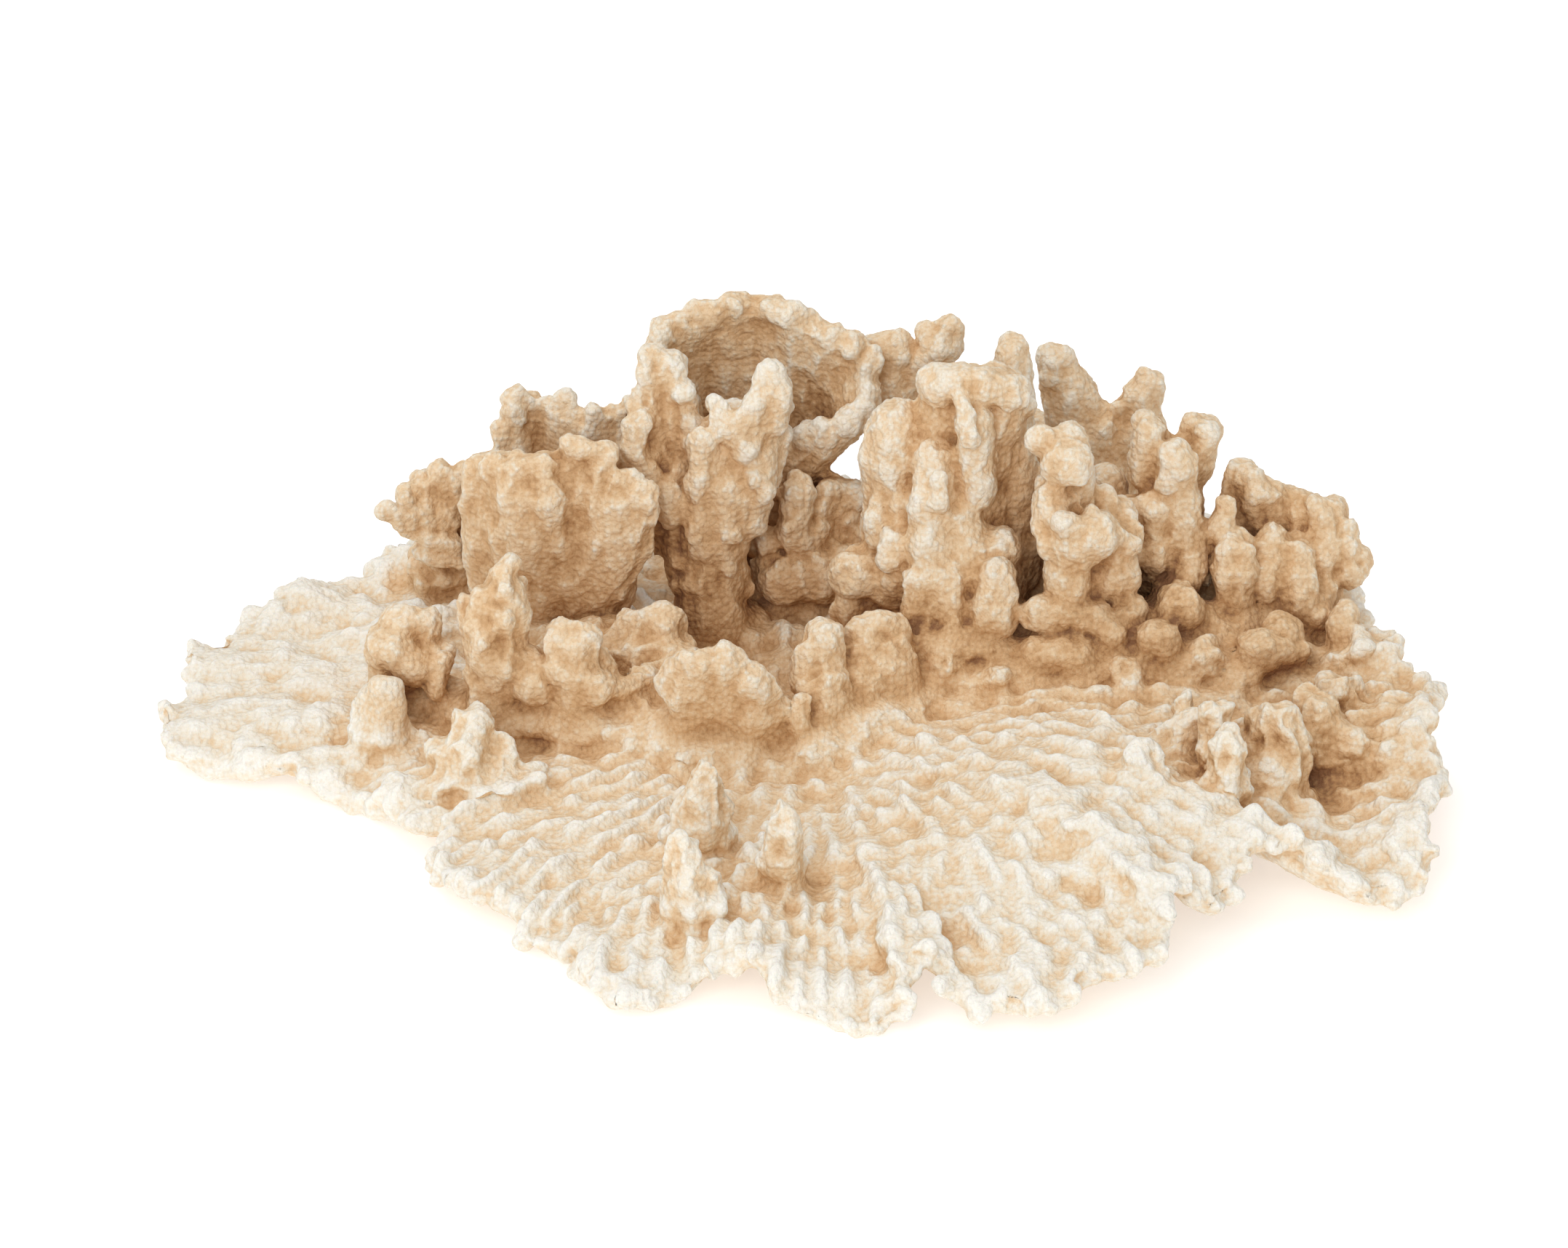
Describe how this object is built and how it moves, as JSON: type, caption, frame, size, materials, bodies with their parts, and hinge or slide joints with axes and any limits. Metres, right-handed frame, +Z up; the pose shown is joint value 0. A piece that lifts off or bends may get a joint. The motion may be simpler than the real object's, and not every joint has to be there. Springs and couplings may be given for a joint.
{
  "type": "scroll coral skeleton",
  "caption": "Dry scroll coral skeleton: a wide ruffled, ridged plate with upright curled leaves, fans and knobbly columns, resting on a flat cut.",
  "frame": {"origin": "middle of the flat cut under the foot, which rests on the surface", "axes": "+Z up, square to the cut; +X to the right and -Y to the front as the coral is looked at, with the tallest leaves at the back"},
  "size_m": [0.2417, 0.2121, 0.0739],
  "materials": {
    "plate": "matte, porous, ridged",
    "uprights": "matte, porous, granular"
  },
  "bodies": {
    "root": {"plate": "plate", "left_scroll": "uprights", "left_fan": "uprights", "left_back_frill": "uprights", "back_shell": "uprights", "centre_column": "uprights", "cup_wall": "uprights", "back_knob_column": "uprights", "tall_column": "uprights", "knob_column": "uprights", "back_antler": "uprights", "right_column": "uprights", "right_fan": "uprights", "front_left_spire": "uprights", "front_left_crown": "uprights", "front_frill": "uprights", "front_centre_leaf": "uprights", "centre_fin": "uprights", "rear_fan": "uprights", "rear_right_fan": "uprights"}
  },
  "joints": []
}
